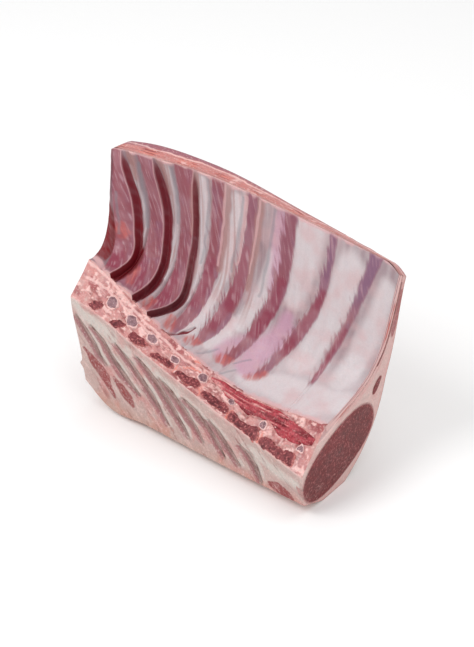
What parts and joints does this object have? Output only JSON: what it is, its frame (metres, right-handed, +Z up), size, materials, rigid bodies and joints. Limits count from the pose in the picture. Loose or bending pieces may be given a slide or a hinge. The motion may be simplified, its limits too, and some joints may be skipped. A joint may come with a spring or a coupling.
{
  "type": "raw rack of lamb",
  "caption": "Raw untrimmed rack of lamb with the chine on, lying on its back fat with the rib cage open upwards and the eye of loin showing at the end cut.",
  "frame": {"origin": "middle of the bounding box's underside, on the surface the rack lies on", "axes": "+X along the back from the shoulder end to the loin end, +Y from the sawn chine towards the belly flap and the rib tips, +Z up"},
  "size_m": [0.192, 0.0834, 0.1478],
  "materials": {
    "fat": "moist cream-pink fat",
    "lean": "moist cut lean meat",
    "muscle_under_membrane": "red muscle under a thin shiny membrane",
    "rib_bone": "bone under a thin grey-white membrane",
    "marrow": "sawn red marrow",
    "cartilage": "grey-pink cartilage"
  },
  "bodies": {
    "root": {"chine_bone_1": "marrow", "chine_bone_2": "marrow", "chine_bone_3": "marrow", "chine_bone_4": "marrow", "chine_bone_5": "marrow", "chine_bone_6": "marrow", "chine_bone_7": "marrow", "chine_bone_8": "marrow", "chine_muscle": "lean", "fat_cover": "fat", "feather_bone_1": "rib_bone", "feather_bone_2": "rib_bone", "feather_bone_3": "rib_bone", "feather_bone_4": "rib_bone", "feather_bone_5": "rib_bone", "feather_bone_6": "rib_bone", "feather_bone_7": "rib_bone", "feather_bone_8": "rib_bone", "flank_muscle": "muscle_under_membrane", "intercostal_1": "muscle_under_membrane", "intercostal_2": "muscle_under_membrane", "intercostal_3": "muscle_under_membrane", "intercostal_4": "muscle_under_membrane", "intercostal_5": "muscle_under_membrane", "intercostal_6": "muscle_under_membrane", "intercostal_7": "muscle_under_membrane", "intercostal_8": "muscle_under_membrane", "loin_eye": "lean", "rib_1": "rib_bone", "rib_2": "rib_bone", "rib_3": "rib_bone", "rib_4": "rib_bone", "rib_5": "rib_bone", "rib_6": "rib_bone", "rib_7": "rib_bone", "rib_8": "rib_bone", "rib_9": "rib_bone", "rib_head_2": "cartilage", "rib_head_3": "cartilage", "rib_head_4": "cartilage", "rib_head_5": "cartilage", "rib_head_6": "cartilage", "rib_head_7": "cartilage", "rib_head_8": "cartilage", "rib_head_9": "cartilage", "side_muscle": "lean"}
  },
  "joints": []
}
